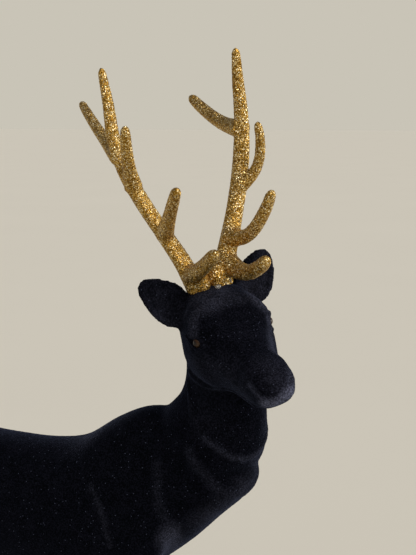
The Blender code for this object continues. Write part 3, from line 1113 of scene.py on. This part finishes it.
@dataclass
class Antler:
    """A glittered antler: a beam that leans out, bows back and comes up, with four tines."""

    pose: HeadPose
    side: Side
    height: float
    spread: float
    straight_from: float
    tip_out: float
    early: float
    tines: dict[TineKind, Tine]
    foot_out: float = 6.5
    foot_depth: float = 3.0
    bow: float = 7.0
    top_back: float = 3.0
    tip_power: int = 10
    beam_radii: tuple[float, ...] = (5.8, 5.3, 4.7, 4.5, 4.3, 3.8, 3.1, 2.1)
    beam_flatness: float = 0.72
    beam_broad_deg: float = 67.0
    tine_radii: tuple[float, ...] = (4.8, 3.9, 3.4, 3.0, 2.4)
    tine_shares: tuple[float, ...] = (0.0, 0.3, 0.55, 0.82, 1.0)
    tine_flatness: float = 0.9
    tip_length: float = 1.8
    least_radius: float = 0.1
    foot_place: Triple = (0.0, 4.6, 3.0)
    foot_radii: Triple = (6.6, 5.2, 8.0)
    grain_mm: float = 0.55
    relaxing: int = 6
    webbing: int = 340
    crust_mm: float = 0.12
    gap: float = 0.1
    ring_points: int = 24
    curve_steps: int = 16

    def beam_at(self, height: float) -> Vector:
        """The middle of the beam at a height above the crown."""
        share = max(height, 0.0) / self.height
        lean = min(max(height, 0.0) / self.straight_from, 1.0)
        late = 0.5 * (lean + lean * lean * (3.0 - 2.0 * lean))
        soon = math.sin(0.5 * math.pi * lean)
        eased = late + (soon - late) * self.early
        forward = -self.top_back * share * share - self.bow * math.sin(math.pi * share)
        out = self.foot_out + self.spread * eased + self.tip_out * share**self.tip_power
        return Vector((forward, out, height))

    def tine_points(self, tine: Tine) -> list[Vector]:
        """Points along a tine, which leaves the beam low and curls up to its tip."""
        root = self.beam_at(tine.height)
        reach = Vector((tine.forward, tine.outward, tine.rise))
        bend = Vector((0.0, 4.0 * tine.bow, -4.0 * tine.sag))
        return [root + reach * share + bend * share * (1.0 - share) for share in self.tine_shares]

    def tube(
        self, points: Sequence[Vector], radii: Sequence[float], flatness: float, broad_way: Vector
    ) -> Rings:
        """Sections of a beam or tine, square to its path and flattened one way.

        Args:
            points: The middle of the path.
            radii: The half breadth at each point.
            flatness: The thickness as a share of the breadth.
            broad_way: The direction that the breadth lies in.

        Returns:
            The rings, on the antler's own side of the head.
        """
        table = smooth_rows([(*p, r) for p, r in zip(points, radii)], self.curve_steps)
        path = [Vector(row[:3]) for row in table]
        rings = []
        for index, row in enumerate(table):
            left = (path[-1] - path[index]).length / (self.tip_length * radii[-1])
            close = math.sqrt(1.0 - (1.0 - min(left, 1.0)) ** 2)
            ahead = path[min(index + 1, len(path) - 1)] - path[max(index - 1, 0)]
            broad = broad_way - ahead * (broad_way.dot(ahead) / ahead.length_squared)
            broad.normalize()
            thin = ahead.cross(broad).normalized()
            ring = []
            for angle in angles(self.ring_points):
                spoke = broad * math.cos(angle) + thin * (flatness * math.sin(angle))
                radius = max(row[3] * close, self.least_radius)
                point = mirrored(path[index] + spoke * radius, self.side)
                ring.append(self.pose.axes @ point)
            rings.append(ring)
        return rings

    def build(self) -> Thing:
        """Models the antler and crusts it with glitter."""
        clay = Clay()
        last = len(self.beam_radii) - 1
        rise = self.height + self.foot_depth
        beam = [self.beam_at(rise * i / last - self.foot_depth) for i in range(last + 1)]
        turn = math.radians(self.beam_broad_deg)
        broad = Vector((math.cos(turn), math.sin(turn), 0.0))
        clay.loft(self.tube(beam, self.beam_radii, self.beam_flatness, broad))
        for tine in self.tines.values():
            radii = [radius * tine.girth for radius in self.tine_radii]
            radii[0] = self.tine_radii[0] * max(tine.girth, tine.flare)
            points = self.tine_points(tine)
            clay.loft(self.tube(points, radii, self.tine_flatness, Vector((0.0, 1.0, 0.0))))
        clay.ball(mirrored(self.foot_place, self.side), self.foot_radii, self.pose.axes)
        antler = clay.press(self.side.named("glitter_antler"), self.grain_mm, self.relaxing)
        Sculptor(antler).fill_hollows(self.webbing)
        facet(antler)
        crust = Sculptor(antler, CRUST_SEEDS[self.side])
        crust.scatter(self.crust_mm)
        self.stop_at_middle(crust)
        crust.write()
        Glitter().dress(antler)
        return antler

    def stop_at_middle(self, tool: Sculptor) -> None:
        """Flattens what would reach over the middle of the head, where the two feet meet."""
        to_head = np.array(self.pose.axes.inverted())
        across = to_head[1, :3]
        reach = self.side.value * (tool.places @ across + to_head[1, 3])
        over = np.maximum(self.gap - reach, 0.0)
        tool.places += self.side.value * over[:, None] * across


@dataclass
class BeadEye:
    """A bead eye, let into the face so that a low dome of it shows."""

    pose: HeadPose
    side: Side
    place: Triple = (21.7, 20.0, -20.0)
    radius: float = 2.5
    looks: Triple = (0.35, 0.92, 0.12)
    meridians: int = 40
    parallels: int = 28

    def build(self) -> Thing:
        """Models the bead, with its own Z axis the way that it looks."""
        ball = bmesh.new()
        bmesh.ops.create_uvsphere(
            ball, u_segments=self.meridians, v_segments=self.parallels, radius=self.radius * MM
        )
        bead = shown(self.side.named("bead_eye"), ball)
        axes = self.pose.axes
        way = axes.to_3x3() @ mirrored(self.looks, self.side)
        centre = axes @ mirrored(self.place, self.side)
        turn = way.to_track_quat("Z", "Y").to_matrix().to_4x4()
        bead.matrix_world = Matrix.Translation(centre * MM) @ turn
        AmberBead().dress(bead)
        return bead


@dataclass
class Plinth:
    """The low oval base, rounded over at its top edge."""

    length: float = 214.0
    width: float = 96.0
    height: float = 10.0
    squareness: float = 2.6
    edge: float = 2.5
    edge_steps: int = 8
    bottom_break: float = 0.6
    points: int = 192

    def build(self) -> Thing:
        """Models the plinth and sprays it."""
        edge_from = self.height - self.edge
        levels = [(0.0, self.bottom_break), (self.bottom_break, 0.0), (edge_from, 0.0)]
        for i in range(1, self.edge_steps + 1):
            angle = 0.25 * FULL_TURN * i / self.edge_steps
            rise = self.height - self.edge * (1.0 - math.sin(angle))
            levels.append((rise, self.edge * (1.0 - math.cos(angle))))
        rings = []
        for z, inset in levels:
            long, wide = 0.5 * self.length - inset, 0.5 * self.width - inset
            spokes = (squared(angle, self.squareness) for angle in angles(self.points))
            rings.append([Vector((long * c, wide * s, z)) for c, s in spokes])
        clay = Clay()
        clay.loft(rings)
        plinth = clay.fire("oval_plinth")
        SprayedMatt().dress(plinth)
        return plinth


@dataclass
class GlueBeads:
    """The clear glue squeezed out at the antlers' feet: a bead between them, a run by the left."""

    pose: HeadPose
    drops: tuple[tuple[Triple, Triple], ...] = (
        ((7.4, 1.8, 0.6), (1.2, 1.7, 1.2)),
        ((7.2, 9.4, 2.4), (0.6, 0.6, 1.5)),
    )

    def build(self) -> Thing:
        """Models each drop from its place and its radii."""
        clay = Clay()
        for place, radii in self.drops:
            clay.ball(Vector(place), radii, self.pose.axes)
        beads = clay.fire("glue_beads")
        HotGlue().dress(beads)
        return beads


# ---- The studio ----


@dataclass(frozen=True)
class SoftLight:
    """A broad, distant studio light. Its angle is how wide it looks from the figurine."""

    name: str
    azimuth_deg: float
    elevation_deg: float
    angle_deg: float
    strength: float
    colour: str

    def build(self) -> None:
        """Hangs the light and turns it to the figurine."""
        light = bpy.data.lights.new(self.name, "SUN")
        light.angle = math.radians(self.angle_deg)
        light.energy = self.strength
        light.color = linear(self.colour)[:3]
        lamp = placed(self.name, light)
        turn, lift = math.radians(self.azimuth_deg), math.radians(self.elevation_deg)
        way = Vector(
            (math.sin(turn) * math.cos(lift), -math.cos(turn) * math.cos(lift), math.sin(lift))
        )
        lamp.location = way
        lamp.rotation_euler = (-way).to_track_quat("-Z", "Y").to_euler()


@dataclass
class Studio:
    """A pale floor, soft light and the camera."""

    floor_size: float = 60.0
    floor_tiles: int = 8
    seen_sky: str = "#c9c4b7"
    light_sky: str = "#c9ccd2"
    ambient: float = 0.45
    lights: tuple[SoftLight, ...] = (
        SoftLight("key_light", 52.0, 44.0, 24.0, 1.85, "#fff4e4"),
        SoftLight("side_light", 112.0, 10.0, 30.0, 1.4, "#ffffff"),
    )
    camera_place: Triple = (270.0, -443.0, 382.0)
    camera_azimuth_deg: float = 20.0
    camera_elevation_deg: float = 10.0
    lens: float = 58.4
    sensor: float = 36.0

    def build(self) -> None:
        """Sets up the floor, the surroundings, the lights and the camera."""
        bpy.context.scene.view_settings.view_transform = "Standard"
        self.floor()
        self.surroundings()
        for light in self.lights:
            light.build()
        self.camera()

    def floor(self) -> None:
        """Lays a sheet of pale paper under the plinth."""
        sheet, tiles = bmesh.new(), self.floor_tiles
        bmesh.ops.create_grid(sheet, x_segments=tiles, y_segments=tiles, size=0.5 * self.floor_size)
        floor = shown("paper_floor", sheet)
        StudioPaper().dress(floor)

    def surroundings(self) -> None:
        """A pale room that is dimmer as a light than it looks behind the figurine."""
        world = bpy.data.worlds.new("pale_room")
        world.use_nodes = True
        tree = world.node_tree
        tree.nodes.clear()
        seen = add_node(tree, "LightPath").outputs["Is Camera Ray"]
        glow = [component * self.ambient for component in linear(self.light_sky)[:3]]
        colour = blend(tree, seen, (*glow, 1.0), linear(self.seen_sky))
        room = add_node(tree, "Background", inputs={"Color": colour})
        add_node(tree, "OutputWorld", inputs={"Surface": room.outputs[0]})
        bpy.context.scene.world = world

    def camera(self) -> None:
        """Makes the camera, level and looking down a little."""
        lens = bpy.data.cameras.new("camera")
        lens.sensor_fit = "VERTICAL"
        lens.sensor_height = self.sensor
        lens.lens = self.lens
        camera = placed("camera", lens)
        camera.location = Vector(self.camera_place) * MM
        camera.rotation_euler = (
            math.radians(90.0 - self.camera_elevation_deg),
            0.0,
            math.radians(self.camera_azimuth_deg),
        )
        bpy.context.scene.camera = camera


def hand_over(piece: Thing, slot: str, *nodes: str) -> None:
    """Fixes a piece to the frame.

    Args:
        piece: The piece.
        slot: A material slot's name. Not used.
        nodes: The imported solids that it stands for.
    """
    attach(piece, "root")
    if nodes:
        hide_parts(*nodes)
    LOG.info("%s: %d faces", piece.name, len(piece.data.polygons))


def main() -> None:
    """Builds the figurine piece by piece, then the studio round it."""
    logging.basicConfig(level=logging.INFO, format="%(name)s %(message)s")
    pose = HeadPose()
    hand_over(Plinth().build(), "plinth", "base")
    hand_over(VelvetBody(pose).build(), "flock", "body")
    right = Antler(
        pose,
        Side.RIGHT,
        height=118.0,
        spread=27.8,
        straight_from=80.0,
        tip_out=1.3,
        early=0.15,
        tines={
            TineKind.BROW: Tine(8.0, 41.0, 2.0, 18.5, 1.5, 1.2),
            TineKind.SECOND: Tine(31.0, 38.5, 4.8, 27.8, 0.0, 0.97),
            TineKind.THIRD: Tine(58.0, 20.5, 6.0, 32.0, 1.0, 0.9, bow=1.0),
            TineKind.REAR: Tine(74.0, -52.5, -2.5, 27.5, 0.0, 0.85, bow=1.0),
        },
    )
    left = Antler(
        pose,
        Side.LEFT,
        height=117.0,
        spread=30.2,
        straight_from=88.0,
        tip_out=0.3,
        early=1.0,
        tines={
            TineKind.BROW: Tine(11.0, 40.0, 4.5, 6.0, 7.0, 1.3),
            TineKind.SECOND: Tine(22.0, 37.5, 9.0, 26.0, 8.4, 1.08, flare=1.25),
            TineKind.THIRD: Tine(46.0, 18.0, 7.2, 33.5, 4.5, 0.84, bow=5.8),
            TineKind.REAR: Tine(75.5, -51.0, -3.5, 19.0, 3.8, 1.1, flare=1.15),
        },
    )
    for antler in (right, left):
        side = antler.side
        hand_over(antler.build(), "glitter", side.named("antler"))
        hand_over(BeadEye(pose, side).build(), "eye_bead", side.named("eye"))
    hand_over(GlueBeads(pose).build(), "glitter")
    Studio().build()


if __name__ == "__main__":
    main()
